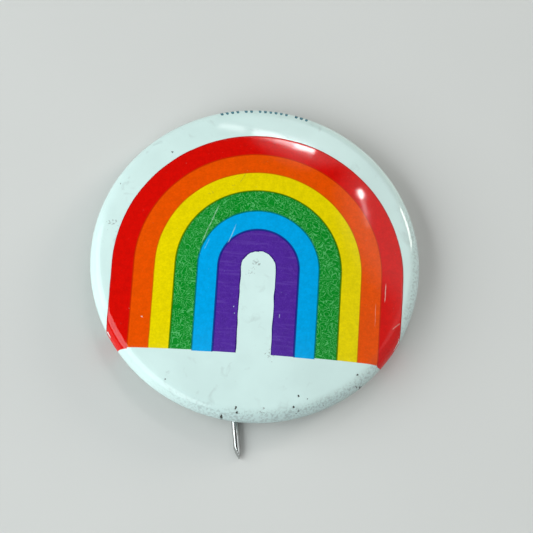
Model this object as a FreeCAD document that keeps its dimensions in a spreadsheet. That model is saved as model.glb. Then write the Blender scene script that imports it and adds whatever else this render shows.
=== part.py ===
"""A lithographed tin button badge with a rainbow, and the spring pin in its curled rim.

The badge is one stamping of thin tinplate. Its face is a shallow dome, its edge turns down
over a small shoulder and curls back inside as a bead, and the bead holds a ring of spring
wire whose free end crosses the open back as the pin. The outside carries a white coat, and
on it six arches of ink: violet, blue, green, yellow, orange and red.

Frame, in millimetres: Z is the badge's axis and points out of the face, +Y is the way up of
the rainbow, and the origin is on the axis in the plane that the curled rim rests on.
"""

import FreeCAD
import Part

import math
import os

import Sketcher

Vector = FreeCAD.Vector
Rotation = FreeCAD.Rotation
Placement = FreeCAD.Placement

# ---------------------------------------------------------------- driving dimensions

DIMENSIONS = {
    # the stamping, measured on the outside of the tin
    "tin_radius": 19.0,
    "dome_radius": 87.5,
    "shoulder_radius": 1.8,
    "bead_radius": 1.05,
    "sheet_thickness": 0.25,
    "lip_angle": 185.0,  # how far the bead curls, from its widest ring
    # the films on the outside
    "coat_thickness": 0.05,
    "coat_end_angle": 70.0,  # how far round the bead the white coat goes
    "ink_thickness": 0.04,
    # the rainbow: its arches share a centre and end on one base line
    "arch_x": 0.31,
    "arch_y": -1.77,
    "violet_inside": 1.96,
    "violet_outside": 4.60,
    "blue_outside": 6.95,
    "green_outside": 9.48,
    "yellow_outside": 11.85,
    "orange_outside": 14.22,
    "red_outside": 16.74,
    "base_line": -11.70,
    "base_step": 0.12,  # red, blue and violet run this much lower than the rest
    # the small marks printed on the shoulder above the rainbow
    "mark_inside": 18.25,
    "mark_outside": 19.30,
    "mark_width": 0.38,
    "mark_pitch": 1.95,  # degrees from one mark to the next
    # the wire
    "wire_radius": 0.38,
    "ring_radius": 18.33,
    "ring_height": 1.12,
    "ring_span": 268.0,
    "exit_bend_radius": 2.0,
    "climb_angle": 20.0,  # the wire climbs over the bead's lip at this angle
    "crest_radius": 2.0,
    "crest_length": 0.55,  # from the end of the crest bend to the pin's root
    "socket_gap": 0.04,
    "arm_offset": 3.97,  # the pin crosses beside the centre
    "rest_turn": 8.7,  # how far the wire has turned in the bead
    "rim_clearance": 0.06,
    "arm_reach": 22.50,
    "neck_start": 19.05,
    "neck_length": 0.62,
    "neck_radius": 0.37,
    "point_length": 1.40,
    "point_radius": 0.05,
}

# ink band: (inner radius cell, outer radius cell, share of base_step that its foot drops)
BANDS = {
    "violet_ink_band": ("violet_inside", "violet_outside", 0.6),
    "blue_ink_band": ("violet_outside", "blue_outside", 1.0),
    "green_ink_band": ("blue_outside", "green_outside", 0.0),
    "yellow_ink_band": ("green_outside", "yellow_outside", 0.0),
    "orange_ink_band": ("yellow_outside", "orange_outside", 0.0),
    "red_ink_band": ("orange_outside", "red_outside", 1.0),
}

# groups of marks on the shoulder: (angle of the first mark from +X in degrees, how many)
MARK_GROUPS = [(105.8, 4), (96.9, 2), (91.8, 6), (78.4, 3)]

doc = FreeCAD.newDocument("button_badge")
sheet = doc.addObject("Spreadsheet::Sheet", "Dims")
for row, (alias, number) in enumerate(DIMENSIONS.items(), start=1):
    sheet.set(f"A{row}", alias)
    sheet.set(f"B{row}", str(number))
    sheet.setAlias(f"B{row}", alias)
doc.recompute()


def size(alias):
    """The number in a cell of the sheet."""
    return float(sheet.get(alias))


def cell(alias):
    """A cell's name as an expression writes it."""
    return "Dims." + alias


# ---------------------------------------------------------------- sketch helpers


def new_sketch(body, name, plane_role):
    """An empty sketch on one of its own body's origin planes."""
    sketch = body.newObject("Sketcher::SketchObject", name)
    plane = next(f for f in body.Origin.OriginFeatures if f.Role == plane_role)
    sketch.AttachmentSupport = (plane, [""])
    sketch.MapMode = "FlatFace"
    return sketch


def bind(sketch, constraint, expression):
    """Adds a constraint whose value follows an expression on the sheet."""
    sketch.setExpression(f"Constraints[{sketch.addConstraint(constraint)}]", expression)


def place_point(sketch, geometry, end, point, expressions):
    """Holds an end of a curve at (x, y) from the sketch's origin."""
    x_expression, y_expression = expressions
    origin = (-1, 1)
    if x_expression == "0":
        sketch.addConstraint(Sketcher.Constraint("PointOnObject", geometry, end, -2))
    else:
        bind(sketch, Sketcher.Constraint("DistanceX", *origin, geometry, end, point[0]), x_expression)
    bind(sketch, Sketcher.Constraint("DistanceY", *origin, geometry, end, point[1]), y_expression)


def arc_between(start, finish, centre):
    """The anticlockwise arc about centre from start to finish, both (x, y)."""
    radius = math.dist(start, centre)
    circle = Part.Circle(Vector(*centre, 0), Vector(0, 0, 1), radius)
    first = math.atan2(start[1] - centre[1], start[0] - centre[0])
    last = math.atan2(finish[1] - centre[1], finish[0] - centre[0])
    return Part.ArcOfCircle(circle, first, last)


def outline(sketch, corners, arcs):
    """Draws a closed outline.

    corners is a list of ((x, y), (x expression, y expression)). arcs maps the number of an
    edge, which runs from that corner to the next, to (centre, expression for the centre's y,
    turn), with turn 1 for an arc that runs anticlockwise and -1 for one that runs clockwise.
    """
    for number, (point, expressions) in enumerate(corners):
        following = corners[(number + 1) % len(corners)][0]
        if number in arcs:
            centre, centre_expression, turn = arcs[number]
            ends = (point, following) if turn > 0 else (following, point)
            edge = sketch.addGeometry(arc_between(*ends, centre))
            bind(sketch, Sketcher.Constraint("DistanceY", -1, 1, edge, 3, centre[1]), centre_expression)
            start_end = 1 if turn > 0 else 2
        else:
            edge = sketch.addGeometry(Part.LineSegment(Vector(*point, 0), Vector(*following, 0)))
            start_end = 1
        place_point(sketch, edge, start_end, point, expressions)
        corners[number] = (point, expressions, edge, start_end)
    for number, (_, _, edge, start_end) in enumerate(corners):
        _, _, next_edge, next_start = corners[(number + 1) % len(corners)]
        finish_end = 3 - start_end
        sketch.addConstraint(
            Sketcher.Constraint("Coincident", edge, finish_end, next_edge, next_start)
        )


def revolve(body, sketch):
    """Turns a body's sketch once round the badge's axis."""
    turned = body.newObject("PartDesign::Revolution", sketch.Name + "_revolution")
    turned.Profile = sketch
    turned.ReferenceAxis = (sketch, ["V_Axis"])
    turned.Angle = 360
    sketch.Visibility = False
    return turned


# ---------------------------------------------------------------- the stamped profile

# The dome and the shoulder meet on the line through their centres.
CENTRE_GAP = "(Dims.dome_radius - Dims.shoulder_radius)"
SHOULDER_X = "(Dims.tin_radius - Dims.shoulder_radius)"
BEAD_X = "(Dims.tin_radius - Dims.bead_radius)"
CENTRE_RISE = f"sqrt({CENTRE_GAP}^2 - {SHOULDER_X}^2)"
DOME_Z = f"(Dims.bead_radius - {CENTRE_RISE})"


def profile_centres():
    """The centres of the dome's, the shoulder's and the bead's arcs, as (r, z)."""
    gap = size("dome_radius") - size("shoulder_radius")
    shoulder_x = size("tin_radius") - size("shoulder_radius")
    height = size("bead_radius")
    dome = (0.0, height - math.sqrt(gap**2 - shoulder_x**2))
    return dome, (shoulder_x, height), (size("tin_radius") - size("bead_radius"), height)


def profile_corners(offset, offset_expression, end_alias):
    """The corners of one surface of the stamping, from its apex to where it ends.

    offset is how far the surface lies outside the tin. end_alias names the cell with the
    angle round the bead where it ends, or is None where it ends at the widest ring.
    """
    dome, shoulder, bead = profile_centres()
    gap = math.dist(dome, shoulder)
    along = (shoulder[0] / gap, (shoulder[1] - dome[1]) / gap)
    dome_radius = size("dome_radius") + offset
    dome_expression = f"(Dims.dome_radius + {offset_expression})"
    found = [
        ((0.0, dome[1] + dome_radius), ("0", f"{DOME_Z} + {dome_expression}")),
        (
            (along[0] * dome_radius, dome[1] + along[1] * dome_radius),
            (
                f"{dome_expression} * {SHOULDER_X} / {CENTRE_GAP}",
                f"{DOME_Z} + {dome_expression} * {CENTRE_RISE} / {CENTRE_GAP}",
            ),
        ),
        (
            (size("tin_radius") + offset, size("bead_radius")),
            (f"Dims.tin_radius + {offset_expression}", "Dims.bead_radius"),
        ),
    ]
    if end_alias:
        radius = size("bead_radius") + offset
        angle = math.radians(size(end_alias))
        radius_expression = f"(Dims.bead_radius + {offset_expression})"
        found.append(
            (
                (bead[0] + radius * math.cos(angle), bead[1] - radius * math.sin(angle)),
                (
                    f"{BEAD_X} + {radius_expression} * cos(Dims.{end_alias} * 1 deg)",
                    f"Dims.bead_radius - {radius_expression} * sin(Dims.{end_alias} * 1 deg)",
                ),
            )
        )
    return found


def profile_layer(name, inner, outer, end_alias):
    """A body that fills the space between two surfaces of the stamping.

    inner and outer are each (offset, its expression).
    """
    body = doc.addObject("PartDesign::Body", name)
    sketch = new_sketch(body, name + "_section", "XZ_Plane")
    outside = profile_corners(*outer, end_alias)
    inside = profile_corners(*inner, end_alias)
    steps = len(outside)
    centres = profile_centres()
    heights = (DOME_Z, "Dims.bead_radius", "Dims.bead_radius")
    arcs = {}
    for number in range(steps - 1):
        arcs[number] = (centres[number], heights[number], -1)
        arcs[2 * steps - 2 - number] = (centres[number], heights[number], 1)
    outline(sketch, outside + inside[::-1], arcs)
    revolve(body, sketch)
    return body


TIN_OUTSIDE = (0.0, "0")
TIN_INSIDE = (-size("sheet_thickness"), "(-Dims.sheet_thickness)")
COAT_OUTSIDE = (size("coat_thickness"), "Dims.coat_thickness")
INK_OUTSIDE = (
    size("coat_thickness") + size("ink_thickness"),
    "(Dims.coat_thickness + Dims.ink_thickness)",
)

tin_shell = profile_layer("tin_shell", TIN_INSIDE, TIN_OUTSIDE, "lip_angle")
white_coat = profile_layer("white_coat", TIN_OUTSIDE, COAT_OUTSIDE, "coat_end_angle")
ink_layer = profile_layer("ink_layer", COAT_OUTSIDE, INK_OUTSIDE, None)

# ---------------------------------------------------------------- the printed arches


def pad_up(body, sketch):
    """Raises a sketch from the rim's plane past the top of the badge."""
    pad = body.newObject("PartDesign::Pad", sketch.Name + "_pad")
    pad.Profile = sketch
    pad.setExpression("Length", "Dims.bead_radius * 6")
    sketch.Visibility = False
    return pad


def arch_block(name, inner_alias, outer_alias, drop):
    """An upright block with the outline of one arch and its two legs."""
    body = doc.addObject("PartDesign::Body", name + "_block")
    sketch = new_sketch(body, name + "_outline", "XY_Plane")
    x, y = size("arch_x"), size("arch_y")
    foot = size("base_line") - drop * size("base_step")
    foot_expression = f"Dims.base_line - {drop} * Dims.base_step"
    inner, outer = size(inner_alias), size(outer_alias)

    def corner(side, alias, at_foot):
        return (
            (x + side * size(alias), foot if at_foot else y),
            (
                f"Dims.arch_x + {side} * Dims.{alias}",
                foot_expression if at_foot else "Dims.arch_y",
            ),
        )

    corners = [
        corner(1, outer_alias, True),
        corner(1, outer_alias, False),
        corner(-1, outer_alias, False),
        corner(-1, outer_alias, True),
        corner(-1, inner_alias, True),
        corner(-1, inner_alias, False),
        corner(1, inner_alias, False),
        corner(1, inner_alias, True),
    ]
    arcs = {
        1: ((x, y), cell("arch_y"), 1),
        5: ((x, y), cell("arch_y"), -1),
    }
    outline(sketch, corners, arcs)
    pad_up(body, sketch)
    return body


def on_ink_layer(name, block):
    """The part of the ink film that stands over a block."""
    common = doc.addObject("Part::Common", name)
    common.Base = ink_layer
    common.Tool = block
    return common


ink_bands = [
    on_ink_layer(name, arch_block(name, inner, outer, drop))
    for name, (inner, outer, drop) in BANDS.items()
]

# ---------------------------------------------------------------- the marks on the shoulder


def mark_group(number, first_angle, count):
    """Upright bars over a few marks, side by side round the shoulder."""
    body = doc.addObject("PartDesign::Body", f"mark_group_{number}")
    sketch = new_sketch(body, f"mark_{number}", "XY_Plane")
    half = size("mark_width") / 2
    corners = [
        (
            (size(alias), side * half),
            (cell(alias), f"{side} * Dims.mark_width / 2"),
        )
        for alias, side in (
            ("mark_inside", -1),
            ("mark_outside", -1),
            ("mark_outside", 1),
            ("mark_inside", 1),
        )
    ]
    outline(sketch, corners, {})
    pad = pad_up(body, sketch)
    pattern = body.newObject("PartDesign::PolarPattern", f"marks_{number}")
    pattern.Originals = [pad]
    pattern.Axis = (sketch, ["N_Axis"])
    pattern.Reversed = True
    pattern.setExpression("Angle", f"Dims.mark_pitch * {count - 1} * 1 deg")
    pattern.Occurrences = count
    body.Tip = pattern
    body.Placement = Placement(Vector(), Rotation(Vector(0, 0, 1), first_angle))
    return body


mark_bars = doc.addObject("Part::MultiFuse", "mark_bars")
mark_bars.Shapes = [
    mark_group(number, *group) for number, group in enumerate(MARK_GROUPS, start=1)
]
rim_marks = on_ink_layer("rim_marks", mark_bars)

# ---------------------------------------------------------------- the wire

UP = Vector(0, 0, 1)


def straight_wire(name, start, direction, length_expression, radius_alias="wire_radius"):
    """A straight piece of wire."""
    piece = doc.addObject("Part::Cylinder", name)
    piece.setExpression("Radius", cell(radius_alias))
    piece.setExpression("Height", length_expression)
    piece.Placement = Placement(start, Rotation(UP, direction))
    return piece


def bent_wire(name, start, direction, axis, radius_alias, degrees):
    """A piece of wire bent about an axis. Returns it with its end and its last direction."""
    piece = doc.addObject("Part::Torus", name)
    piece.setExpression("Radius1", cell(radius_alias))
    piece.setExpression("Radius2", cell("wire_radius"))
    piece.Angle3 = degrees
    centre = start + axis.cross(direction) * size(radius_alias)
    outward = direction.cross(axis)
    piece.Placement = Placement(centre, Rotation(outward, direction, axis, "ZXY"))
    turn = Rotation(axis, degrees)
    return piece, centre + turn.multVec(start - centre), turn.multVec(direction)


def slope(degrees):
    """The direction along the pin, falling by so many degrees, before the rest turn."""
    angle = math.radians(degrees)
    return Vector(0, -math.cos(angle), -math.sin(angle))


def exit_bend(angle):
    """The bend out of the ring that starts at an angle round it: (start, axis, turn, end)."""
    start = Vector(
        size("ring_radius") * math.cos(angle),
        size("ring_radius") * math.sin(angle),
        size("ring_height"),
    )
    along = Vector(-math.sin(angle), math.cos(angle), 0)
    climbing = slope(-size("climb_angle"))
    turn = along.getAngle(climbing)
    end = start + (along + climbing) * (size("exit_bend_radius") * math.tan(turn / 2))
    return start, along.cross(climbing).normalize(), math.degrees(turn), end


def bisect(value, low, high):
    """Where a rising function crosses zero."""
    for _ in range(60):
        middle = (low + high) / 2
        low, high = (low, middle) if value(middle) > 0 else (middle, high)
    return (low + high) / 2


def exit_angle():
    """Where the wire leaves the ring so that it heads down the pin's line."""
    return bisect(
        lambda angle: -size("arm_offset") - exit_bend(angle)[3].x,
        math.radians(80),
        math.radians(115),
    )


def crest_bend(start, fall):
    """The bend from climbing over the lip to falling along the pin: (turn, end)."""
    turn = size("climb_angle") + fall
    reach = size("crest_radius") * math.tan(math.radians(turn / 2))
    return turn, start + (slope(-size("climb_angle")) + slope(fall)) * reach


def rim_crossing():
    """Where the pin passes under the bead on the far side, a clearance below it."""
    bead_ring = size("tin_radius") - size("bead_radius")
    across = math.sqrt(bead_ring**2 - size("arm_offset") ** 2)
    drop = size("wire_radius") + size("rim_clearance") + size("coat_thickness")
    return Vector(-size("arm_offset"), -across, -drop)


def pin_fall(climb_end):
    """The angle at which the pin falls so that it passes under the far side of the rim."""
    goal = rim_crossing()

    def height_to_spare(fall):
        _, crest_end = crest_bend(climb_end, fall)
        run = (crest_end.y - goal.y) / math.cos(math.radians(fall))
        return goal.z - (crest_end.z + slope(fall).z * run)

    return bisect(height_to_spare, 0.0, 15.0)


leaving = exit_angle()
exit_start, exit_axis, exit_turn, climb_end = exit_bend(leaving)
fall = pin_fall(climb_end)
crest_turn, crest_end = crest_bend(climb_end, fall)
pin_root = crest_end + slope(fall) * size("crest_length")

ring_start_angle = leaving - math.radians(size("ring_span"))
ring_start = Vector(
    size("ring_radius") * math.cos(ring_start_angle),
    size("ring_radius") * math.sin(ring_start_angle),
    size("ring_height"),
)
ring_direction = Vector(-math.sin(ring_start_angle), math.cos(ring_start_angle), 0)

ring_arc, _, _ = bent_wire(
    "ring_arc", ring_start, ring_direction, UP, "ring_radius", size("ring_span")
)
exit_arc, _, _ = bent_wire(
    "exit_arc",
    exit_start,
    Vector(-math.sin(leaving), math.cos(leaving), 0),
    exit_axis,
    "exit_bend_radius",
    exit_turn,
)
crest_arc, _, _ = bent_wire(
    "crest_arc", climb_end, slope(-size("climb_angle")), Vector(1, 0, 0), "crest_radius", crest_turn
)
crest_run = straight_wire("crest_run", crest_end, slope(fall), cell("crest_length"))

ring_wire = doc.addObject("Part::MultiFuse", "ring_wire")
ring_wire.Shapes = [ring_arc, exit_arc, crest_arc, crest_run]

# The ring ends in a small socket round the ball at the pin's root.
root_socket = doc.addObject("Part::Sphere", "root_socket")
root_socket.setExpression("Radius", "Dims.wire_radius + Dims.socket_gap")
root_socket.Placement.Base = pin_root

spring_ring = doc.addObject("Part::Cut", "spring_ring")
spring_ring.Base = ring_wire
spring_ring.Tool = root_socket

# ---------------------------------------------------------------- the pin's arm


def along_arm(distance):
    """A point on the pin's line, so far from the centre of the badge across its back."""
    run = (pin_root.y + distance) / math.cos(math.radians(fall))
    return pin_root + slope(fall) * run


def cone(name, start, length_alias, wide_alias, narrow_alias):
    """A taper along the pin."""
    piece = doc.addObject("Part::Cone", name)
    piece.setExpression("Radius1", cell(wide_alias))
    piece.setExpression("Radius2", cell(narrow_alias))
    piece.setExpression("Height", cell(length_alias))
    piece.Placement = Placement(start, Rotation(UP, slope(fall)))
    return piece


run_per_reach = 1 / math.cos(math.radians(fall))
neck = along_arm(size("neck_start"))
shank = straight_wire(
    "shank", pin_root, slope(fall), f"({pin_root.y} + Dims.neck_start) * {run_per_reach}"
)
neck_cone = cone("neck_cone", neck, "neck_length", "wire_radius", "neck_radius")
tip_start = neck + slope(fall) * size("neck_length")
tip_run = straight_wire(
    "tip_run",
    tip_start,
    slope(fall),
    f"(Dims.arm_reach - Dims.neck_start) * {run_per_reach} - Dims.neck_length - Dims.point_length",
    "neck_radius",
)
point_start = along_arm(size("arm_reach")) - slope(fall) * size("point_length")
point = cone("point", point_start, "point_length", "neck_radius", "point_radius")

root_ball = doc.addObject("Part::Sphere", "root_ball")
root_ball.setExpression("Radius", cell("wire_radius"))
root_ball.Placement.Base = pin_root

pin_arm = doc.addObject("Part::MultiFuse", "pin_arm")
pin_arm.Shapes = [root_ball, shank, neck_cone, tip_run, point]

rest = Placement(Vector(), Rotation(UP, size("rest_turn")))
for wire in (spring_ring, pin_arm):
    wire.Placement = rest

# ---------------------------------------------------------------- checks and files

doc.recompute()

NODES = [tin_shell, white_coat, *ink_bands, rim_marks, spring_ring, pin_arm]

for thing in doc.Objects:
    if "Invalid" in thing.State or "Error" in thing.State:
        raise RuntimeError(f"{thing.Name} failed: {thing.State}")
for node in NODES:
    node.Label = node.Name
    shape = node.Shape
    if shape.isNull() or not shape.isValid() or not shape.Solids:
        raise RuntimeError(f"{node.Label} has no valid solid")

os.makedirs("parts", exist_ok=True)
for node in NODES:
    node.Shape.exportStep(f"parts/{node.Label}.step")
    box = node.Shape.BoundBox
    print(
        f"{node.Label:18s} {len(node.Shape.Solids)} solids, {node.Shape.Volume:9.3f} mm3,"
        f" z {box.ZMin:.3f} to {box.ZMax:.3f}"
    )
root = rest.multVec(pin_root)
tip = rest.multVec(along_arm(size("arm_reach")))
print("pin root", [round(value, 4) for value in root], "tip", [round(value, 4) for value in tip])
print("pin falls at", round(fall, 4), "degrees, and leaves the ring at", round(math.degrees(leaving), 3))
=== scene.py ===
"""The looks of a lithographed tin button badge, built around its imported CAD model.

Lengths in this script are in millimetres in the row frame, and become metres where a mesh,
a light or the camera is made.
"""

import math
import random

import bmesh
import bpy
from mathutils import Matrix, Vector, noise


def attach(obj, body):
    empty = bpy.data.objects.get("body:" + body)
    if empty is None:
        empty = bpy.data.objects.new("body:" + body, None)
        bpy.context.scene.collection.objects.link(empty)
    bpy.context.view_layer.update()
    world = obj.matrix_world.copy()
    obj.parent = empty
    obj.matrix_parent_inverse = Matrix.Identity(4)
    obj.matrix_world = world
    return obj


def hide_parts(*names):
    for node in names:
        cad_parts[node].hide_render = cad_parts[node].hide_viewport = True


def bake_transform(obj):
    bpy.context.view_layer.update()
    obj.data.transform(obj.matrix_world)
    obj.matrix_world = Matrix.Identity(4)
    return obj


MM = 0.001

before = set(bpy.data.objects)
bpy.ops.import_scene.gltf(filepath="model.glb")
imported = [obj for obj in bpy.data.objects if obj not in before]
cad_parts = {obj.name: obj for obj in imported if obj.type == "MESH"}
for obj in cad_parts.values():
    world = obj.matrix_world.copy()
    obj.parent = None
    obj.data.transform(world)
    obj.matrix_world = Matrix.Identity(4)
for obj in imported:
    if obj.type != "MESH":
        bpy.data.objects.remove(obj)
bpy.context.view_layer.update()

# ---------------------------------------------------------------- sizes, as in the CAD model

TIN_RADIUS = 19.0
DOME_RADIUS = 87.5
SHOULDER_RADIUS = 1.8
BEAD_RADIUS = 1.05
SHEET = 0.25
COAT = 0.05
LIP_ANGLE = math.radians(185.0)

ARCH_X, ARCH_Y = 0.31, -1.77
BASE_LINE = -11.70
BASE_STEP = 0.12

MARK_GROUPS = [(105.8, 4), (96.9, 2), (91.8, 6), (78.4, 3)]
MARK_PITCH = 1.95
MARK_WIDTH = 0.38
MARK_INSIDE = 18.25

WIRE_RADIUS = 0.38
RING_RADIUS = 18.33
RING_HEIGHT = 1.12
RING_SPAN = math.radians(268.0)
RING_LEAVES = math.radians(96.883)
EXIT_BEND_RADIUS = 2.0
CREST_RADIUS = 2.0
CLIMB = math.radians(20.0)
FALL = math.radians(4.0517)
REST_TURN = math.radians(8.7)
CREST_LENGTH = 0.55
ARM_REACH = 22.50
POINT_LENGTH = 1.40

SHOULDER_R = TIN_RADIUS - SHOULDER_RADIUS
CENTRE_GAP = DOME_RADIUS - SHOULDER_RADIUS
DOME_TILT = math.asin(SHOULDER_R / CENTRE_GAP)
DOME_Z = BEAD_RADIUS - CENTRE_GAP * math.cos(DOME_TILT)
BEAD_R = TIN_RADIUS - BEAD_RADIUS

# ---------------------------------------------------------------- sizes of the looks alone

DENT, RIPPLE = 0.010, 0.003  # how far the face strays over a long way and a short one
EVEN_FROM = 18.6  # the face is even from this radius outwards
FACE_ABOVE = 1.4  # a point higher than this is on the face and not in the bead
SMOOTH_ANGLE = 35.0  # degrees between faces that are shaded as one
DOME_STEPS, SHOULDER_STEPS = 56, 26  # stations along the dome's section and the shoulder's
BEAD_STEP = 0.07  # radians from one station to the next round the bead
COAT_GAP = 0.001  # keeps the coat off the tin
COAT_END = math.pi / 2 + LIP_ANGLE - math.radians(4.0)  # the coat stops short of the lip

INK = 0.012  # thickness of the innermost ink above the coat
INK_STEP = 0.0006  # how much thicker each ink is than the one inside it
FILM_ROOT = -0.02  # a film's underside lies this far inside the coat
SOFT_EDGE = 0.02  # width of a film's thinned edge
THINNED = 0.3  # share of its thickness that a film keeps at its edge
OVERLAP = 0.015  # how far an ink lies over the one inside it
WRAP = math.radians(60.0)  # how far down the bead the red ink runs off
WOBBLE = 0.044  # how far the edge between two inks strays
FREE_WOBBLE = 0.07  # and the violet's inner edge, which has no neighbour
MARK_DOWN = math.radians(12.0)  # how far down the bead a dash runs

WIRE_SMOOTH_ANGLE = 50.0  # as SMOOTH_ANGLE, for the wire
RING_STEP = 1.5  # degrees from one station of the ring to the next
EXIT_STEPS, CREST_STEPS = 26, 10  # stations round the wire's two bends
TAIL = 9  # how many stretches of the ring belong to the pin's own piece
NARROWS_FROM = 0.55  # share of the point after which its wire gets thinner
NARROWS_BY = 0.55  # share of its radius that the wire loses there
GROUND_BY = 1.45  # how far the point's flat side is ground in, in radii of the wire
CLOSE_STEP, CLOSE_STEPS = 0.3, 25  # stations stand close together where the pin bends
FAR_STEPS, POINT_STEPS = 18, 12  # stations from there to the point, and along the point

# ---------------------------------------------------------------- the stamped surface


def unevenness(x, y):
    """How far the face lies off its true dome, as a stamped sheet does."""
    near = noise.noise(Vector((x * 0.16, y * 0.16, 3.7)))
    fine = noise.noise(Vector((x * 0.45, y * 0.45, 9.1)))
    fade = max(0.0, 1.0 - (math.hypot(x, y) / EVEN_FROM) ** 8)
    return (DENT * near + RIPPLE * fine) * fade


def profile(angle, offset):
    """A point of the section at an angle from straight up, so far outside the tin: (r, z)."""
    if angle <= DOME_TILT:
        radius = DOME_RADIUS + offset
        return radius * math.sin(angle), DOME_Z + radius * math.cos(angle)
    if angle <= math.pi / 2:
        radius = SHOULDER_RADIUS + offset
        return SHOULDER_R + radius * math.sin(angle), BEAD_RADIUS + radius * math.cos(angle)
    radius = BEAD_RADIUS + offset
    return BEAD_R + radius * math.sin(angle), BEAD_RADIUS + radius * math.cos(angle)


def profile_angles(last):
    """Angles to sample the section at, from its apex to the last one."""
    dome = [DOME_TILT * k / DOME_STEPS for k in range(DOME_STEPS)]
    over = math.pi / 2 - DOME_TILT
    shoulder = [DOME_TILT + over * k / SHOULDER_STEPS for k in range(SHOULDER_STEPS)]
    steps = int((last - math.pi / 2) / BEAD_STEP)
    bead = [math.pi / 2 + (last - math.pi / 2) * k / steps for k in range(steps + 1)]
    return dome + shoulder + bead


def on_face(x, y, height):
    """The point over (x, y), so far above the coat along its normal."""
    r = math.hypot(x, y)
    dome_edge = (DOME_RADIUS + COAT) * math.sin(DOME_TILT)
    if r <= dome_edge:
        tilt = math.asin(r / (DOME_RADIUS + COAT))
    else:
        tilt = math.asin(min(1.0, (r - SHOULDER_R) / (SHOULDER_RADIUS + COAT)))
    out_r, z = profile(tilt, COAT + height)
    share = out_r / r if r > 1e-9 else 1.0
    return Vector((x * share, y * share, z + unevenness(x, y)))


def make_mesh(name, points, faces, smooth_angle=SMOOTH_ANGLE):
    """A mesh object from points in millimetres."""
    mesh = bpy.data.meshes.new(name)
    mesh.from_pydata([tuple(c * MM for c in point) for point in points], [], faces)
    mesh.validate()
    mesh.polygons.foreach_set("use_smooth", [True] * len(mesh.polygons))
    mesh.set_sharp_from_angle(angle=math.radians(smooth_angle))
    mesh.update()
    made = bpy.data.objects.new(name, mesh)
    bpy.context.scene.collection.objects.link(made)
    return made


def revolved(name, section, segments=360):
    """A closed section, a list of (r, z), turned about Z. Points with r of 0 are its poles."""
    points, rings = [], []
    for r, z in section:
        if r < 1e-9:
            rings.append([len(points)] * segments)
            points.append(Vector((0, 0, z + unevenness(0, 0))))
            continue
        rings.append(range(len(points), len(points) + segments))
        for k in range(segments):
            turn = 2 * math.pi * k / segments
            x, y = r * math.cos(turn), r * math.sin(turn)
            on_top = z > FACE_ABOVE and r < EVEN_FROM
            points.append(Vector((x, y, z + (unevenness(x, y) if on_top else 0.0))))
    faces = []
    for one, other in zip(rings, list(rings[1:]) + [rings[0]]):
        for k in range(segments):
            following = (k + 1) % segments
            corners = [one[k], other[k], other[following], one[following]]
            distinct = list(dict.fromkeys(corners))
            if len(distinct) > 2:
                faces.append(distinct)
    return make_mesh(name, points, faces)


def film_section(inner, outer, last):
    """The section of a layer between two offsets from the tin."""
    outside = [profile(angle, outer) for angle in profile_angles(last)]
    inside = [profile(angle, inner) for angle in profile_angles(last)]
    return outside + inside[::-1]


# ---------------------------------------------------------------- materials


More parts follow.
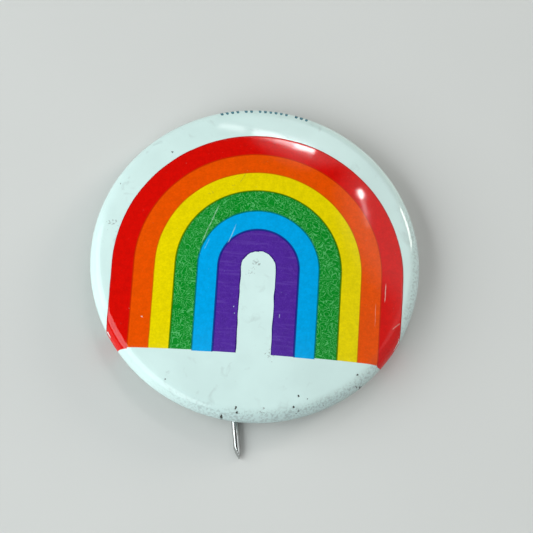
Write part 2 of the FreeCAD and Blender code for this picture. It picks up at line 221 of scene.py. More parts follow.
class Shade:
    """A node material in the making. Its coordinates are in millimetres."""

    def __init__(self, name, settings):
        self.material = bpy.data.materials.new(name)
        self.material.use_nodes = True
        self.tree = self.material.node_tree
        self.surface = self.tree.nodes["Principled BSDF"]
        for socket, value in settings.items():
            self.surface.inputs[socket].default_value = value
        place = self.add("ShaderNodeTexCoord", {}, output="Object")
        self.place = self.vector("SCALE", place, Scale=1.0 / MM)
        self.flat = self.vector("MULTIPLY", self.place, (1.0, 1.0, 0.0))
        self.radius = self.vector("LENGTH", self.flat, output="Value")

    def add(self, kind, inputs, output=0, **properties):
        """A node with its inputs set or linked. Returns one of its outputs."""
        node = self.tree.nodes.new(kind)
        for name, value in properties.items():
            setattr(node, name, value)
        for name, value in inputs.items():
            self.feed(node.inputs[name], value)
        return node.outputs[output]

    def feed(self, socket, value):
        """Links a socket to an output, or sets it to a value."""
        if isinstance(value, bpy.types.NodeSocket):
            self.tree.links.new(value, socket)
        elif isinstance(value, tuple) and socket.type == "RGBA":
            socket.default_value = (*value[:3], 1.0)
        else:
            socket.default_value = value

    def drive(self, socket, value):
        """Feeds a socket of the surface itself."""
        self.feed(self.surface.inputs[socket], value)

    def vector(self, operation, a, b=None, output=0, **named):
        """A step of vector arithmetic."""
        inputs = {0: a, **named}
        if b is not None:
            inputs[1] = b
        return self.add("ShaderNodeVectorMath", inputs, output, operation=operation)

    def math(self, operation, a, b=0.0):
        """A step of arithmetic."""
        return self.add("ShaderNodeMath", {0: a, 1: b}, operation=operation)

    def mix(self, share, a, b):
        """Colour a turning into colour b as share goes from 0 to 1."""
        return self.add("ShaderNodeMix", {0: share, 6: a, 7: b}, 2, data_type="RGBA")

    def ramp(self, value, low, high, to_low=0.0, to_high=1.0):
        """A smooth step of a value between two limits."""
        inputs = {0: value, 1: low, 2: high, 3: to_low, 4: to_high}
        return self.add("ShaderNodeMapRange", inputs, interpolation_type="SMOOTHSTEP")

    def noise(self, scale, detail=2.0, distortion=0.0, place=None, shift=0.0):
        """Noise with so many features to a millimetre."""
        at = self.vector("ADD", place or self.place, (shift, shift, shift))
        inputs = {"Vector": at, "Scale": scale, "Detail": detail, "Distortion": distortion}
        return self.add("ShaderNodeTexNoise", inputs)

    def spots(self, marks, ragged=0.10):
        """A mask of small irregular spots, each (x, y, radius)."""
        wander = self.add(
            "ShaderNodeTexNoise", {"Vector": self.place, "Scale": 3.2, "Detail": 3.0}, "Color"
        )
        wander = self.vector("SUBTRACT", wander, (0.5, 0.5, 0.5))
        wander = self.vector("SCALE", wander, Scale=ragged * 8)
        warped = self.vector("ADD", self.flat, self.vector("MULTIPLY", wander, (1.0, 1.0, 0.0)))
        masks = []
        for x, y, radius in marks:
            far = self.vector("DISTANCE", warped, (x, y, 0.0), "Value")
            masks.append(self.ramp(far, radius * 0.6, radius, 1.0, 0.0))
        return self.most(masks)

    def most(self, masks):
        """The strongest of some masks at each place."""
        found = masks[0]
        for mask in masks[1:]:
            found = self.math("MAXIMUM", found, mask)
        return found

    def scratch(self, start, finish, width):
        """A mask of a fine scratch that comes and goes along its length."""
        along = Vector((finish[0] - start[0], finish[1] - start[1], 0.0))
        length = along.length
        along.normalize()
        from_start = self.vector("SUBTRACT", self.flat, (start[0], start[1], 0.0))
        run = self.vector("DOT_PRODUCT", from_start, tuple(along), "Value")
        side = self.vector("DOT_PRODUCT", from_start, (-along.y, along.x, 0.0), "Value")
        bend = self.math("MULTIPLY", self.math("SUBTRACT", self.noise(0.5), 0.5), 0.25)
        side = self.math("ABSOLUTE", self.math("ADD", side, bend))
        line = self.ramp(side, width * 0.3, width, 1.0, 0.0)
        ends = self.math(
            "MULTIPLY",
            self.ramp(run, 0.0, length * 0.25),
            self.ramp(run, length * 0.8, length, 1.0, 0.0),
        )
        worn = self.ramp(self.noise(2.2, shift=5.0), 0.3, 0.55, 0.35, 1.0)
        return self.math("MULTIPLY", self.math("MULTIPLY", line, ends), worn)

    def worms(self, strength):
        """A mask of fine squiggles, where an ink drew together as it dried."""
        masks = []
        for scale, shift in ((0.85, 12.0), (1.2, 41.0)):
            level = self.noise(scale, 1.0, 0.8, shift=shift)
            wave = self.math("PINGPONG", self.math("MULTIPLY", level, 7.0), 0.5)
            masks.append(self.ramp(wave, 0.02, 0.11, strength, 0.0))
        return self.most(masks)

    def bump(self, height, depth, normal=None):
        """A relief of so many millimetres. Returns its normal."""
        inputs = {"Height": height, "Distance": depth * MM, "Strength": 1.0}
        if normal is not None:
            inputs["Normal"] = normal
        return self.add("ShaderNodeBump", inputs)

    def orange_peel(self):
        """The slight waviness of the baked varnish."""
        waves = self.bump(self.noise(0.8, 2.0), 0.0028)
        return self.bump(self.noise(3.0, 2.0, shift=9.0), 0.0009, waves)

    def tint(self, value):
        """Grey of a value, as a colour to multiply by."""
        return self.add("ShaderNodeCombineColor", {0: value, 1: value, 2: value})

    def times(self, colour, grey):
        """A colour made lighter or darker by a factor."""
        inputs = {0: 1.0, 6: colour, 7: self.tint(grey)}
        return self.add("ShaderNodeMix", inputs, 2, data_type="RGBA", blend_type="MULTIPLY")


GLOSS = 0.055
VARNISH = {"Roughness": GLOSS, "IOR": 1.36}
WHITE = (0.655, 0.815, 0.78)
DIRT = (0.22, 0.23, 0.22)
# colour of the painted shade and grime on the rim's turned edge
EDGE_SHADE_AND_GRIME = (0.36, 0.44, 0.46)
BARE_CHIP = (0.045, 0.045, 0.04)
MOTTLE = 0.05  # how much an ink's grain lightens and darkens it

# where the coat is worn, in patches: (x, y, how far it reaches, how many spots, the largest)
CHIPPED = [
    (-2, -18, 1.2, 4, 0.16),
    (6, -17.5, 1.5, 5, 0.14),
    (12, -14, 1.0, 4, 0.17),
    (18, -4, 1.0, 1, 0.15),
    (15, -11, 1.0, 1, 0.12),
    (-11, 12, 1.0, 1, 0.14),
    (-17, 8, 1.0, 1, 0.12),
    (-9, -16, 1.0, 1, 0.10),
]
SMUDGED = [(0, -2, 1.0, 2, 0.6), (-17, 2, 1.0, 2, 0.6), (0, -15, 5.0, 2, 0.5)]
SOOTY = [(-3, 8.5, 0.6, 2, 0.35), (-6, 7, 0.5, 1, 0.25)]

# squiggles in an ink: their colour and strength
WORMS = {
    "green": ((0.10, 0.46, 0.14), 0.9),
    "violet": ((0.13, 0.05, 0.38), 0.35),
}
# long scratches, each from one place to another, and how wide and how strong
SCRATCHES = {
    "green": [((-4.5, 6), (-6.5, 0.5), 0.075, 0.75)],
    "blue": [((-2.5, 3.5), (-3.5, 0.5), 0.075, 0.6), ((-5.5, 1.5), (-6, 0), 0.05, 0.4)],
    "red": [((15, -2), (15, -4.5), 0.07, 0.8), ((17, -6.5), (16, -7.5), 0.08, 0.5)],
    "orange": [((14, -4.5), (14, -7.5), 0.05, 0.35)],
    "violet": [((3, -7), (3, -7.5), 0.07, 0.9)],
}
# patches with a few small specks, as for the coat
SPECKS = {
    "orange": [(-13, -8, 0.5, 1, 0.14)],
    "violet": [(-3, -7, 1.0, 2, 0.10)],
    "red": [(-15, -7, 1.0, 1, 0.08)],
}


def scatter(seed, patches):
    """Spots strewn by chance over patches of the face, each spot (x, y, radius)."""
    draw = random.Random(seed)
    spots = []
    for x, y, reach, count, largest in patches:
        for _ in range(count):
            turn = draw.uniform(0.0, 2.0 * math.pi)
            away = reach * math.sqrt(draw.random())
            radius = largest * draw.uniform(0.5, 1.0)
            spots.append((x + away * math.cos(turn), y + away * math.sin(turn), radius))
    return spots


def white_enamel():
    """The glossy white base coat, with the dirt and the chips of its age, and painted light and
    shade: lighter in the middle, darker towards the rim and on its turned edge.
    """
    shade = Shade("white_enamel", VARNISH)
    cloud = shade.ramp(shade.noise(0.22, 3.0), 0.3, 0.75, 0.955, 1.02)
    colour = shade.times(WHITE, cloud)
    # painted light and shade: the white is a little lighter in the middle and darker towards the
    # rim
    colour = shade.times(colour, shade.ramp(shade.radius, 5.0, 16.5, 1.03, 0.95))

    # greyish smudges here and there
    smudge = shade.ramp(shade.noise(0.55, 4.0, 0.8, shift=20.0), 0.60, 0.78, 0.0, 0.22)
    rubbed = shade.ramp(shade.noise(2.6, 4.0, 0.5, shift=7.0), 0.42, 0.60)
    rubbed = shade.math("MULTIPLY", shade.spots(scatter(3, SMUDGED), 0.35), rubbed)
    smudge = shade.math("MAXIMUM", smudge, shade.math("MULTIPLY", rubbed, 0.65))
    colour = shade.mix(smudge, colour, DIRT)

    # rubbed dirt along the rim, most of it at the lower right
    side = shade.vector("DOT_PRODUCT", shade.flat, (0.0372, -0.0372, 0.0), "Value")
    weight = shade.ramp(side, 0.10, 0.70, 0.03, 1.0)
    edge = shade.ramp(shade.radius, 17.75, 18.8)
    speckle = shade.ramp(shade.noise(3.4, 5.0, 0.3, shift=31.0), 0.44, 0.66)
    grime = shade.math("MULTIPLY", shade.math("MULTIPLY", edge, speckle), weight)
    colour = shade.mix(shade.math("MULTIPLY", grime, 0.55), colour, DIRT)
    # painted shade and a thin film of grime on the turned edge itself, most at the lower right
    edge_shade_and_grime = shade.math("MULTIPLY", shade.ramp(shade.radius, 18.1, 18.95, 0.0, 0.30), weight)
    colour = shade.mix(edge_shade_and_grime, colour, EDGE_SHADE_AND_GRIME)

    pepper = shade.ramp(shade.noise(4.5, 2.0, shift=47.0), 0.70, 0.76)
    pepper = shade.math("MULTIPLY", shade.math("MULTIPLY", pepper, edge), weight)
    chips = shade.spots(scatter(5, CHIPPED), 0.06)
    chips = shade.math("MAXIMUM", chips, shade.math("MULTIPLY", pepper, 0.8))
    colour = shade.mix(chips, colour, BARE_CHIP)
    shade.drive("Base Color", colour)
    dull = shade.math("MAXIMUM", chips, shade.math("MULTIPLY", grime, 0.7))
    shade.drive("Roughness", shade.ramp(dull, 0.0, 1.0, GLOSS, 0.5))
    shade.drive("Normal", shade.bump(chips, -0.05, shade.orange_peel()))
    return shade.material


def wiped(shade, colour):
    """The fine level streaks in the violet."""
    level = shade.vector("MULTIPLY", shade.place, (0.22, 2.2, 1.0))
    streaks = shade.ramp(shade.noise(1.3, 3.0, 0.6, level), 0.50, 0.72, 0.0, 0.6)
    return shade.mix(streaks, colour, (0.12, 0.05, 0.36))


def sooty(shade, colour):
    """The dark smudges and the thin dark line on the yellow."""
    soot = shade.spots(scatter(8, SOOTY), 0.3)
    soot = shade.math("MULTIPLY", soot, shade.ramp(shade.noise(2.4, 4.0), 0.40, 0.62))
    line = shade.math("MULTIPLY", shade.scratch((-1.5, 10.5), (-2.5, 8.5), 0.07), 0.9)
    soot = shade.math("MULTIPLY", shade.most([soot, line]), 0.5)
    return shade.mix(soot, colour, (0.20, 0.16, 0.03))


def ink(name, colour, width, inner_line, outer_line):
    """A printed ink under varnish.

    inner_line and outer_line are each (colour, width, strength), for the dark line where the
    ink meets its neighbour.
    """
    shade = Shade(name + "_ink", VARNISH)
    across = shade.add("ShaderNodeAttribute", {}, "Fac", attribute_name="across")
    grain = shade.ramp(shade.noise(1.5, 4.0, shift=3.0), 0.3, 0.7, 1.0 - MOTTLE, 1.0 + MOTTLE)
    fine = shade.ramp(shade.noise(4.2, 2.0, shift=33.0), 0.3, 0.7, 1.0 - MOTTLE, 1.0 + MOTTLE)
    found = shade.times(shade.times(colour, grain), fine)
    if name in WORMS:
        worm_colour, strength = WORMS[name]
        found = shade.mix(shade.worms(strength), found, worm_colour)
    if name == "violet":
        found = wiped(shade, found)

    from_outside = shade.math("SUBTRACT", width, across)
    for line, far in ((inner_line, across), (outer_line, from_outside)):
        line_colour, line_width, strength = line
        share = shade.ramp(far, line_width * 0.55, line_width, strength, 0.0)
        found = shade.mix(share, found, line_colour)

    marks = []
    for start, finish, scratch_width, strength in SCRATCHES.get(name, ()):
        marks.append(shade.math("MULTIPLY", shade.scratch(start, finish, scratch_width), strength))
    if name in SPECKS:
        marks.append(shade.spots(scatter(2, SPECKS[name]), 0.05))
    rub = shade.ramp(shade.noise(5.5, 3.0, shift=80.0), 0.71, 0.78, 0.0, 0.22)
    marked = shade.most([*marks, rub])
    worn_through = shade.mix(0.55, colour, (0.75, 1.0, 0.85))
    found = shade.mix(shade.math("MULTIPLY", marked, 0.8), found, worn_through)
    if name == "yellow":
        found = sooty(shade, found)
    shade.drive("Base Color", found)
    shade.drive("Roughness", shade.ramp(marked, 0.0, 1.0, GLOSS, 0.5))
    shade.drive("Normal", shade.bump(marked, -0.006, shade.orange_peel()))
    return shade.material


def teal_ink():
    """The worn ink of the dashes."""
    shade = Shade("teal_ink", VARNISH)
    worn = shade.ramp(shade.noise(2.6, 4.0, shift=2.0), 0.40, 0.64, 0.0, 0.5)
    shade.drive("Base Color", shade.mix(worn, (0.010, 0.12, 0.17), (0.14, 0.36, 0.40)))
    shade.drive("Normal", shade.orange_peel())
    return shade.material


def bare_tinplate():
    """Rolled tinplate: fine lines one way, cloudy tarnish, and rust where the edge is cut."""
    shade = Shade("bare_tinplate", {"Metallic": 1.0, "Roughness": 0.34})
    stretched = shade.vector("MULTIPLY", shade.place, (0.03, 2.0, 2.0))
    lines = shade.noise(1.6, 4.0, place=stretched)
    cloud = shade.ramp(shade.noise(0.30, 4.0, 0.5), 0.35, 0.7, 0.84, 1.05)
    colour = shade.times((0.72, 0.71, 0.68), cloud)
    colour = shade.times(colour, shade.ramp(lines, 0.3, 0.7, 0.95, 1.03))
    stain = shade.ramp(shade.noise(0.8, 5.0, 0.7, shift=15.0), 0.60, 0.72, 0.0, 0.45)
    colour = shade.mix(stain, colour, (0.30, 0.24, 0.16))
    height = shade.add("ShaderNodeSeparateXYZ", {0: shade.place}, "Z")
    lip = shade.math(
        "MULTIPLY",
        shade.ramp(shade.radius, 16.8, 17.15, 1.0, 0.0),
        shade.ramp(height, 1.35, 1.6, 1.0, 0.0),
    )
    rust = shade.ramp(shade.noise(1.8, 5.0, shift=25.0), 0.46, 0.60)
    rust = shade.math("MULTIPLY", rust, lip)
    colour = shade.mix(shade.math("MULTIPLY", rust, 0.7), colour, (0.21, 0.085, 0.03))
    shade.drive("Base Color", colour)
    shade.drive("Roughness", shade.ramp(lines, 0.3, 0.75, 0.32, 0.42))
    shade.drive("Metallic", shade.ramp(rust, 0.0, 1.0, 1.0, 0.25))
    shade.drive("Normal", shade.bump(lines, 0.0008))
    return shade.material


def spring_wire():
    """Bright plated wire with drawing lines and a little tarnish."""
    shade = Shade("spring_wire", {"Metallic": 1.0, "Roughness": 0.16})
    drawn = shade.vector("MULTIPLY", shade.place, (2.0, 0.1, 2.0))
    lines = shade.noise(1.6, 2.0, place=drawn)
    tarnish = shade.ramp(shade.noise(0.9, 4.0, 0.4, shift=9.0), 0.56, 0.74, 0.0, 0.4)
    colour = shade.mix(tarnish, (0.50, 0.51, 0.50), (0.24, 0.22, 0.19))
    colour = shade.times(colour, shade.ramp(lines, 0.3, 0.7, 0.88, 1.05))
    shade.drive("Base Color", colour)
    shade.drive("Roughness", shade.ramp(lines, 0.3, 0.75, 0.12, 0.30))
    shade.drive("Normal", shade.bump(lines, 0.0006))
    return shade.material


def dress(thing, material):
    """Gives a piece its one material."""
    thing.data.materials.clear()
    thing.data.materials.append(material)
    return thing


# ---------------------------------------------------------------- the shell and its coat

stamping = revolved("stamped_shell", film_section(-SHEET, 0.0, math.pi / 2 + LIP_ANGLE))
dress(stamping, bare_tinplate())
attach(stamping, "button")
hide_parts("tin_shell")

enamel = revolved("white_enamel", film_section(COAT_GAP, COAT, COAT_END))
dress(enamel, white_enamel())
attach(enamel, "button")
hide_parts("white_coat")

# ---------------------------------------------------------------- the printed arches


class Spot:
    """A place on the outside: over (x, y), and so far down the bead if it is at the rim."""

    def __init__(self, x, y, down=0.0, edge=False):
        self.x, self.y, self.down, self.edge = x, y, down, edge

    def at(self, height):
        """The point so far above the coat here."""
        if self.down <= 0.0:
            return on_face(self.x, self.y, height)
        r, z = profile(math.pi / 2 + self.down, COAT + height)
        share = r / math.hypot(self.x, self.y)
        return Vector((self.x * share, self.y * share, z))


def film(name, rows, across=None, thick=INK):
    """A closed film from rows of spots. across gives each spot's distance over the band."""
    wide = len(rows[0])
    tops = [spot.at(thick * (THINNED if spot.edge else 1.0)) for row in rows for spot in row]
    roots = [spot.at(FILM_ROOT) for row in rows for spot in row]
    below = len(tops)
    faces = []
    for row in range(len(rows) - 1):
        for column in range(wide - 1):
            a = row * wide + column
            quad = [a, a + 1, a + 1 + wide, a + wide]
            faces.append(quad)
            faces.append([below + corner for corner in quad[::-1]])
    rim = list(range(wide))
    rim += [row * wide + wide - 1 for row in range(1, len(rows))]
    rim += [(len(rows) - 1) * wide + column for column in range(wide - 2, -1, -1)]
    rim += [row * wide for row in range(len(rows) - 2, 0, -1)]
    for a, b in zip(rim, rim[1:] + rim[:1]):
        faces.append([b, a, below + a, below + b])
    made = make_mesh(name, tops + roots, faces)
    if across:
        flat = [value for row in across for value in row]
        attribute = made.data.attributes.new("across", "FLOAT", "POINT")
        attribute.data.foreach_set("value", flat + flat)
    return made


def wobble(radius, way, size=WOBBLE):
    """How far the edge between two inks strays at a distance along it."""
    return size * noise.noise(Vector((radius * 2.3, way * 0.8, 4.4)))


LEG_STEPS, ARCH_STEPS = 44, 150  # stations along each straight leg and over the arch
BAND_STEPS, WRAP_STEPS = 12, 6  # cells across a band, and down the bead
MEAN_RADIUS = 8.0  # turns an angle into a distance that all the arches share
OTHER_SIDE = 200  # keeps the right half's wobble apart from the left half's


def arch_stations(drop):
    """Stations from the left foot to the right, each (side, height or None, angle or None)."""
    foot = BASE_LINE - drop * BASE_STEP
    leg = ARCH_Y - foot
    left = [(-1, foot + leg * k / LEG_STEPS, None) for k in range(LEG_STEPS)]
    angles = [math.pi * (1 - k / ARCH_STEPS) for k in range(ARCH_STEPS + 1)]
    arch = [(-1 if angle > math.pi / 2 else 1, None, angle) for angle in angles]
    right = [(1, ARCH_Y - leg * (k + 1) / LEG_STEPS, None) for k in range(LEG_STEPS)]
    return left + arch + right


def arch_rows(inner, outer, drop, innermost, outermost):
    """Spots over one arch from its left foot to its right, and their distances across it."""
    rows, distances = [], []
    for side, height, angle in arch_stations(drop):
        way = height
        if angle is not None:
            way = ARCH_Y + MEAN_RADIUS * (math.pi / 2 - abs(angle - math.pi / 2))
        if side > 0:
            way += OTHER_SIDE
        if innermost:
            near = inner + wobble(inner, way, FREE_WOBBLE)
        else:
            near = inner + wobble(inner, way) - OVERLAP
        far = outer + wobble(outer, way)
        clipped = False
        if angle is None:
            to_rim = math.sqrt((TIN_RADIUS + COAT) ** 2 - height**2) - side * ARCH_X
            clipped = far > to_rim
            far = min(far, to_rim)

        cuts = [near, near + SOFT_EDGE]
        cuts += [near + (far - near) * k / BAND_STEPS for k in range(1, BAND_STEPS)]
        cuts += [far - SOFT_EDGE, far]
        row = []
        for cut in cuts:
            if angle is None:
                row.append(Spot(ARCH_X + side * cut, height))
            else:
                row.append(Spot(ARCH_X + cut * math.cos(angle), ARCH_Y + cut * math.sin(angle)))
        row[0].edge = innermost
        row[-1].edge = outermost and not clipped
        marks = [cut - inner for cut in cuts]
        if outermost:
            last = row[-1]
            for k in range(1, WRAP_STEPS + 1):
                down = WRAP * k / WRAP_STEPS if clipped else 0.0
                row.append(Spot(last.x, last.y, down, edge=k == WRAP_STEPS))
                marks.append(marks[-1])
        rows.append(row)
        distances.append(marks)
    for spot in rows[0] + rows[-1]:
        spot.edge = True
    return rows, distances


def tidy_film(thing):
    """Merges the spots of a film that fall together, where it does not reach the rim."""
    work = bmesh.new()
    work.from_mesh(thing.data)
    bmesh.ops.remove_doubles(work, verts=work.verts, dist=1e-7)
    bmesh.ops.dissolve_degenerate(work, edges=work.edges, dist=1e-8)
    bmesh.ops.recalc_face_normals(work, faces=work.faces)
    work.to_mesh(thing.data)
    work.free()
    thing.data.polygons.foreach_set("use_smooth", [True] * len(thing.data.polygons))
    thing.data.set_sharp_from_angle(angle=math.radians(SMOOTH_ANGLE))


# the dark lines where inks meet, each (colour, width, strength)
VIOLET_LINE = ((0.020, 0.003, 0.13), 0.15, 0.85)
NAVY_LINE = ((0.008, 0.012, 0.20), 0.16, 0.9)
TEAL_LINE = ((0.0, 0.13, 0.10), 0.13, 0.7)
GREEN_LINE = ((0.012, 0.14, 0.0), 0.13, 0.85)
AMBER_LINE = ((0.50, 0.10, 0.0), 0.10, 0.6)
RED_LINE = ((0.46, 0.02, 0.0), 0.11, 0.6)
DARK_RED_LINE = ((0.36, 0.0, 0.004), 0.15, 0.6)

# each ink: colour, inner radius, outer radius, drop of its foot, inner line, outer line
INKS = {
    "violet": ((0.075, 0.019, 0.285), 1.96, 4.60, 0.6, VIOLET_LINE, NAVY_LINE),
    "blue": ((0.0, 0.345, 0.73), 4.60, 6.95, 1.0, NAVY_LINE, TEAL_LINE),
    "green": ((0.003, 0.225, 0.016), 6.95, 9.48, 0.0, TEAL_LINE, GREEN_LINE),
    "yellow": ((0.76, 0.60, 0.0), 9.48, 11.85, 0.0, GREEN_LINE, AMBER_LINE),
    "orange": ((0.76, 0.075, 0.0), 11.85, 14.22, 0.0, AMBER_LINE, RED_LINE),
    "red": ((0.63, 0.003, 0.001), 14.22, 16.74, 1.0, RED_LINE, DARK_RED_LINE),
}

for order, (shade_name, ink_facts) in enumerate(INKS.items()):
    colour, inner, outer, drop, inner_line, outer_line = ink_facts
    rows, distances = arch_rows(inner, outer, drop, order == 0, order == len(INKS) - 1)
    band = film(shade_name + "_arch", rows, distances, INK + order * INK_STEP)
    tidy_film(band)
    dress(band, ink(shade_name, colour, outer - inner, inner_line, outer_line))
    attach(band, "button")
    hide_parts(shade_name + "_ink_band")

# ---------------------------------------------------------------- the dashes on the shoulder

DASH_STEPS = 14  # stations along a dash
DASH_SIDE = 3  # cells from its middle to its side
DASH_ENDS = (0.62, 0.88, 1.0)  # share of its width at the end, next to it, and from there on


def dash_rows(degrees, width):
    """Spots over one plain dash across the shoulder."""
    turn = math.radians(degrees)
    first = math.asin((MARK_INSIDE - SHOULDER_R) / (SHOULDER_RADIUS + COAT))
    rows = []
    for k in range(DASH_STEPS + 1):
        angle = first + (math.pi / 2 + MARK_DOWN - first) * k / DASH_STEPS
        down = max(0.0, angle - math.pi / 2)
        r, _ = profile(min(angle, math.pi / 2), COAT)
        end = min(k, DASH_STEPS - k)
        half = width / 2 * DASH_ENDS[min(end, 2)]
        row = []
        for j in range(-DASH_SIDE, DASH_SIDE + 1):
            aside = turn - half * j / DASH_SIDE / TIN_RADIUS
            edge = abs(j) == DASH_SIDE or end == 0
            row.append(Spot(r * math.cos(aside), r * math.sin(aside), down, edge))
        rows.append(row)
    return rows


rng = random.Random(7)
dashes = []
for first_angle, count in MARK_GROUPS:
    for k in range(count):
        width = MARK_WIDTH * rng.uniform(0.85, 1.1)
        dashes.append(film("dash", dash_rows(first_angle - MARK_PITCH * k, width)))
with bpy.context.temp_override(
    active_object=dashes[0], selected_editable_objects=dashes, object=dashes[0]
):
    bpy.ops.object.join()
rim_dashes = dashes[0]
rim_dashes.name = "rim_dashes"
rim_dashes.data.name = "rim_dashes"


dress(rim_dashes, teal_ink())
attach(rim_dashes, "button")
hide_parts("rim_marks")

# ---------------------------------------------------------------- the wire


def ring_point(turn):
    """The wire's centre in the ring, at an angle."""
    return Vector((RING_RADIUS * math.cos(turn), RING_RADIUS * math.sin(turn), RING_HEIGHT))


def slope(fall):
    """The direction along the pin that falls by an angle."""
    return Vector((0.0, -math.cos(fall), -math.sin(fall)))


def rounded(start, way_in, way_out, radius, steps):
    """Points round a bend from one direction to another, without its start."""
    turn = way_in.angle(way_out)
    axis = way_in.cross(way_out).normalized()
    centre = start + axis.cross(way_in) * radius
    arm = start - centre
    return [centre + Matrix.Rotation(turn * k / steps, 3, axis) @ arm for k in range(1, steps + 1)]


def wire_route():
    """The wire's centre line: (points of the ring, points of the free end, its root)."""
    start = RING_LEAVES - RING_SPAN
    turns = int(math.degrees(RING_SPAN) / RING_STEP)
    ring = [ring_point(start + RING_SPAN * k / turns) for k in range(turns + 1)]
    along = Vector((-math.sin(RING_LEAVES), math.cos(RING_LEAVES), 0.0))
    climbing, falling = slope(-CLIMB), slope(FALL)
    free = rounded(ring[-1], along, climbing, EXIT_BEND_RADIUS, EXIT_STEPS)
    free += rounded(free[-1], climbing, falling, CREST_RADIUS, CREST_STEPS)
    return ring, free, free[-1] + falling * CREST_LENGTH


def tube(name, stations, sides=28):
    """A closed tube.

    Each station is (centre, radius, where its flat side lies sideways of the centre). The
    last is None where the wire is round.
    """
    points, faces = [], []
    across = Vector((0, 0, 1)).cross(stations[1][0] - stations[0][0]).normalized()
    for number, (centre, radius, flat) in enumerate(stations):
        before = stations[max(number - 1, 0)][0]
        after = stations[min(number + 1, len(stations) - 1)][0]
        along = (after - before).normalized()
        across = (across - along * across.dot(along)).normalized()
        up = along.cross(across)
        for k in range(sides):
            turn = 2 * math.pi * k / sides
            sideways, rise = radius * math.cos(turn), radius * math.sin(turn)
            if flat is not None:
                sideways = max(sideways, flat)
            points.append(centre + across * sideways + up * rise)
    rings = len(stations)
    for ring in range(rings - 1):
        for k in range(sides):
            a, b = ring * sides + k, ring * sides + (k + 1) % sides
            faces.append([a, b, b + sides, a + sides])
    faces.append(list(range(sides))[::-1])
    faces.append([(rings - 1) * sides + k for k in range(sides)])
    return make_mesh(name, points, faces, WIRE_SMOOTH_ANGLE)


def point_section(share):
    """The wire's radius and its flat side, at a share of the ground point."""
    narrowed = max(0.0, share - NARROWS_FROM) / (1.0 - NARROWS_FROM)
    radius = WIRE_RADIUS * (1.0 - NARROWS_BY * narrowed)
    return radius, min(-WIRE_RADIUS + GROUND_BY * WIRE_RADIUS * share, 0.9 * radius)


ring, free, root = wire_route()
rest = Matrix.Rotation(REST_TURN, 3, "Z")
falling = slope(FALL)
straight = (root.y + ARM_REACH) / math.cos(FALL) - POINT_LENGTH
close = CLOSE_STEP * CLOSE_STEPS
runs = [CLOSE_STEP * k for k in range(1, CLOSE_STEPS + 1)]
runs += [close + (straight - close) * k / FAR_STEPS for k in range(1, FAR_STEPS + 1)]
ring_stations = [(point, WIRE_RADIUS, None) for point in ring[:-TAIL]]
pin_stations = [(point, WIRE_RADIUS, None) for point in ring[-TAIL - 1 :] + free + [root]]
pin_stations += [(root + falling * run, WIRE_RADIUS, None) for run in runs]
for k in range(1, POINT_STEPS + 1):
    share = k / POINT_STEPS
    radius, flat = point_section(share)
    pin_stations.append((root + falling * (straight + POINT_LENGTH * share), radius, flat))


def turned(stations):
    """Stations turned with the ring to where the wire rests."""
    return [(rest @ point, radius, flat) for point, radius, flat in stations]


wire_material = spring_wire()
coil = tube("wire_ring", turned(ring_stations))
dress(coil, wire_material)
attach(coil, "wire_ring")
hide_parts("spring_ring")

pin = tube("wire_pin", turned(pin_stations))
dress(pin, wire_material)
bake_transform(pin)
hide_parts("pin_arm")

# ---------------------------------------------------------------- floor, lights and camera

FLOOR_TILT = 0.0272  # the badge leans on its pin and on the far side of its rim
FLOOR_Y, FLOOR_Z = BEAD_R, -COAT - 0.004  # where it meets the far side of the rim
FLOOR_HALF = 900.0  # half the floor's width


def make_floor():
    """A wide pale floor under the badge."""
    shade = Shade("pale_floor", {"Roughness": 0.75})
    soft = shade.ramp(shade.noise(0.02, 3.0), 0.3, 0.7, 0.97, 1.0)
    shade.drive("Base Color", shade.times((0.62, 0.61, 0.59), soft))
    far = FLOOR_HALF
    corners = [
        Vector((x, y, FLOOR_Z + (y - FLOOR_Y) * FLOOR_TILT))
        for x, y in ((-far, -far), (far, -far), (far, far), (-far, far))
    ]
    return dress(make_mesh("floor", corners, [[0, 1, 2, 3]]), shade.material)


make_floor()


def toward(azimuth, elevation):
    """The direction at an azimuth from +X and an elevation, both in degrees."""
    turn, rise = math.radians(azimuth), math.radians(elevation)
    level = math.cos(rise)
    return Vector((level * math.cos(turn), level * math.sin(turn), math.sin(rise)))


def light(name, middle, size, watts, colour, long_way=None):
    """A soft rectangular light that faces the badge."""
    lamp = bpy.data.lights.new(name, "AREA")
    lamp.shape = "RECTANGLE"
    lamp.size, lamp.size_y = size[0] * MM, size[1] * MM
    lamp.energy = watts
    lamp.color = colour
    thing = bpy.data.objects.new(name, lamp)
    bpy.context.scene.collection.objects.link(thing)
    back = middle.normalized()
    side = (long_way or Vector((0, 0, 1)).cross(back)).normalized()
    side = (side - back * side.dot(back)).normalized()
    axes = Matrix((side, back.cross(side), back)).transposed()
    thing.location = middle * MM
    thing.rotation_euler = axes.to_euler()
    thing.visible_camera = False


FAR = 700.0  # how far the lights stand from the badge


def window(name, azimuth, elevation, wide, high, radiance, colour):
    """A soft light of an angular width and height in degrees."""
    size = [2 * FAR * math.tan(math.radians(angle / 2)) for angle in (wide, high)]
    watts = radiance * math.pi * size[0] * size[1] * MM * MM
    light(name, toward(azimuth, elevation) * FAR, size, watts, colour)


def strip(name, start, finish, wide, radiance):
    """A thin light between two directions, each (azimuth, elevation), so many degrees wide."""
    one, other = toward(*start) * FAR, toward(*finish) * FAR
    size = ((other - one).length, FAR * math.radians(wide))
    watts = radiance * math.pi * size[0] * size[1] * MM * MM
    light(name, (one + other) / 2, size, watts, (1.0, 1.0, 1.0), other - one)


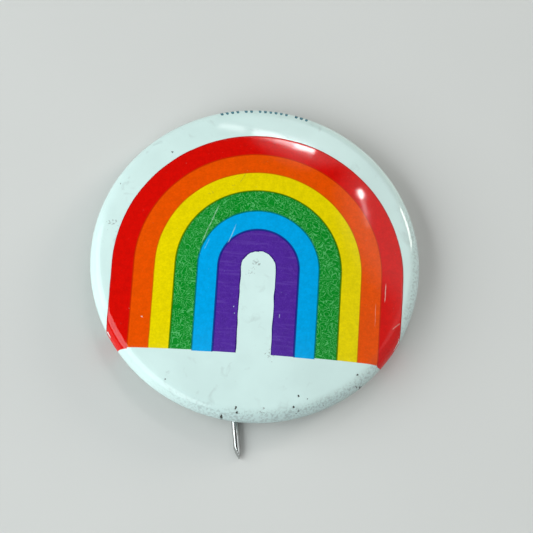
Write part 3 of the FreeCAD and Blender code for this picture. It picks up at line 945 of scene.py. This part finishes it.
window("left_window", -160, 30, 90, 38, 4.5, (0.90, 0.985, 1.0))
window("right_window", 35, 19, 13, 15, 16.0, (1.0, 0.96, 0.90))
strip("streak_start", (90.5, 45.9), (84.3, 46.7), 1.3, 13.0)
strip("streak_middle", (84.6, 46.8), (79.4, 47.4), 1.2, 24.0)
strip("streak_end", (80.0, 47.5), (75.0, 47.7), 1.3, 50.0)
strip("second_head", (60.4, 50.7), (58.3, 51.6), 0.7, 80.0)
strip("second_tail", (58.6, 51.8), (54.3, 54.0), 0.8, 10.0)
strip("second_fade", (54.5, 53.9), (51.5, 55.3), 1.0, 3.0)
strip("third", (98.4, 44.4), (92.6, 45.5), 0.9, 8.0)

ROOM_LIGHT = (0.95, 0.99, 1.0, 1.0)
ROOM_BASE = 0.04  # light from where no patch is
# soft patches of the room, each (azimuth, elevation, its bright width, its whole width, light)
ROOM = [
    (42, 44, 14, 20, 0.95),
    (14, 50, 9, 14, 0.7),
    (79, 41, 8, 12, 1.5),
    (0, 30, 20, 50, 0.6),
    (100, 12, 12, 28, 0.4),
    (-90, 65, 20, 35, 0.36),
]


def add_patch(tree, direction, facts):
    """The light of one patch of the room in a direction, as a node."""
    azimuth, elevation, bright, whole, amount = facts
    facing = tree.nodes.new("ShaderNodeVectorMath")
    facing.operation = "DOT_PRODUCT"
    facing.inputs[1].default_value = toward(azimuth, elevation)
    tree.links.new(direction, facing.inputs[0])
    patch = tree.nodes.new("ShaderNodeMapRange")
    patch.interpolation_type = "SMOOTHSTEP"
    limits = (math.cos(math.radians(whole)), math.cos(math.radians(bright)), 0.0, amount)
    for number, limit in enumerate(limits, start=1):
        patch.inputs[number].default_value = limit
    tree.links.new(facing.outputs["Value"], patch.inputs[0])
    return patch.outputs[0]


def make_world():
    """A dim room with a few soft bright patches."""
    world = bpy.data.worlds.new("studio")
    world.use_nodes = True
    tree = world.node_tree
    background = tree.nodes["Background"]
    background.inputs["Color"].default_value = ROOM_LIGHT
    direction = tree.nodes.new("ShaderNodeTexCoord").outputs["Generated"]
    strength = None
    for facts in ROOM:
        total = tree.nodes.new("ShaderNodeMath")
        total.operation = "ADD"
        total.inputs[1].default_value = ROOM_BASE
        tree.links.new(add_patch(tree, direction, facts), total.inputs[0])
        if strength:
            tree.links.new(strength, total.inputs[1])
        strength = total.outputs[0]
    tree.links.new(strength, background.inputs["Strength"])
    return world


bpy.context.scene.world = make_world()
bpy.context.scene.view_settings.view_transform = "Standard"

CAMERA_PLACE = (-5.93, -76.37, 219.53)
CAMERA_TURN = (0.33235, -0.05309, 0.05744)
CAMERA_LENS = 135.1

camera_data = bpy.data.cameras.new("camera")
camera_data.sensor_width = 36.0
camera_data.lens = CAMERA_LENS
camera_data.clip_start = 0.01
camera_data.clip_end = 10.0
camera = bpy.data.objects.new("camera", camera_data)
camera.location = Vector(CAMERA_PLACE) * MM
camera.rotation_euler = CAMERA_TURN
bpy.context.scene.collection.objects.link(camera)
bpy.context.scene.camera = camera
